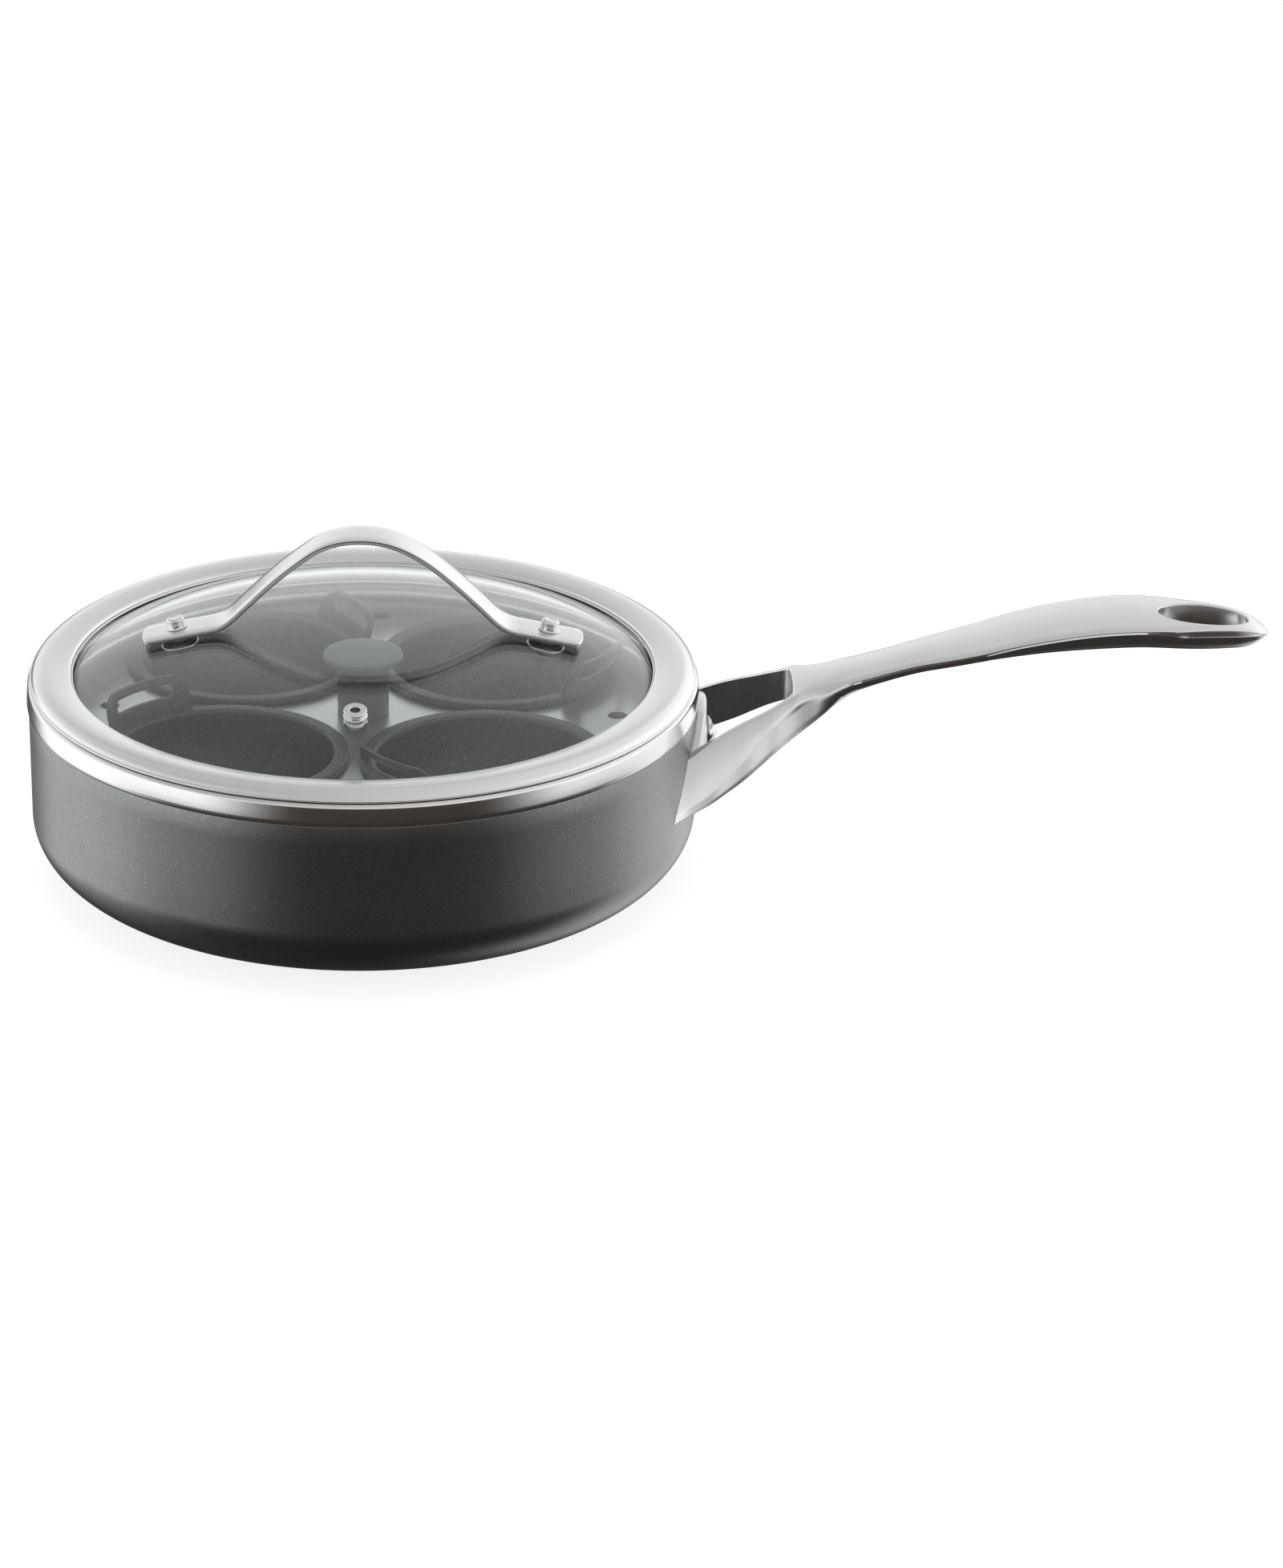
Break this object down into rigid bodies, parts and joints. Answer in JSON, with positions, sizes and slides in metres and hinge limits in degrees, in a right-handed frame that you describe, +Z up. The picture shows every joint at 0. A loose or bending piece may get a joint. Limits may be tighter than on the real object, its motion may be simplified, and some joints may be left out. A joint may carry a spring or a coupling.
{
  "type": "egg poacher pan",
  "caption": "Round lidded saute-style pan with a drop-in tray of removable egg cups, a domed glass lid and a long cast handle.",
  "frame": {"origin": "centre of the flat base, on the surface that the pan stands on", "axes": "+Z up along the pan's axis, +X towards the tip of the long handle"},
  "size_m": [0.3879, 0.2098, 0.1117],
  "materials": {
    "anodised_body": "hard-anodised, dark grey with a fine sparkle",
    "cast_steel": "satin cast stainless steel",
    "polished_steel": "bright satin stainless steel",
    "tray_steel": "satin stainless sheet",
    "knob_plastic": "satin phenolic",
    "cup_nonstick": "speckled grey non-stick coating on aluminium",
    "lid_glass": "clear tempered glass",
    "silicone": "translucent grey silicone"
  },
  "bodies": {
    "pan": {"pan_body": "anodised_body", "handle": "cast_steel", "handle_rivets": "polished_steel"},
    "tray": {"tray": "tray_steel", "tray_knob": "knob_plastic", "tray_knob_screw": "polished_steel", "tray_knob_washer": "polished_steel"},
    "cup_a": {"cup_1": "cup_nonstick"},
    "cup_b": {"cup_2": "cup_nonstick"},
    "cup_c": {"cup_3": "cup_nonstick"},
    "cup_d": {"cup_4": "cup_nonstick"},
    "lid": {"lid_glass": "lid_glass", "lid_rim": "polished_steel", "vent_eyelet": "polished_steel", "lid_handle": "polished_steel", "lid_rivets": "polished_steel", "lid_sleeves": "silicone", "lid_gaskets": "silicone", "lid_gaskets_under": "silicone", "lid_backing_washers": "polished_steel"}
  },
  "joints": [
    {"name": "tray_lift", "type": "slide", "parent": "pan", "child": "tray", "axis": [0, 0, 1], "range_m": [0, 0.1]},
    {"name": "lid_lift", "type": "slide", "parent": "tray", "child": "lid", "axis": [0, 0, 1], "range_m": [0, 0.15]},
    {"name": "cup_a_lift", "type": "slide", "parent": "tray", "child": "cup_a", "axis": [0, 0, 1], "range_m": [0, 0.06]},
    {"name": "cup_b_lift", "type": "slide", "parent": "tray", "child": "cup_b", "axis": [0, 0, 1], "range_m": [0, 0.06]},
    {"name": "cup_c_lift", "type": "slide", "parent": "tray", "child": "cup_c", "axis": [0, 0, 1], "range_m": [0, 0.06]},
    {"name": "cup_d_lift", "type": "slide", "parent": "tray", "child": "cup_d", "axis": [0, 0, 1], "range_m": [0, 0.06]}
  ],
  "couplings": [
    {"joint": "cup_a_lift", "follows": "lid_lift", "ratio": 0.4},
    {"joint": "cup_b_lift", "follows": "lid_lift", "ratio": 0.4},
    {"joint": "cup_c_lift", "follows": "lid_lift", "ratio": 0.4},
    {"joint": "cup_d_lift", "follows": "lid_lift", "ratio": 0.4}
  ]
}
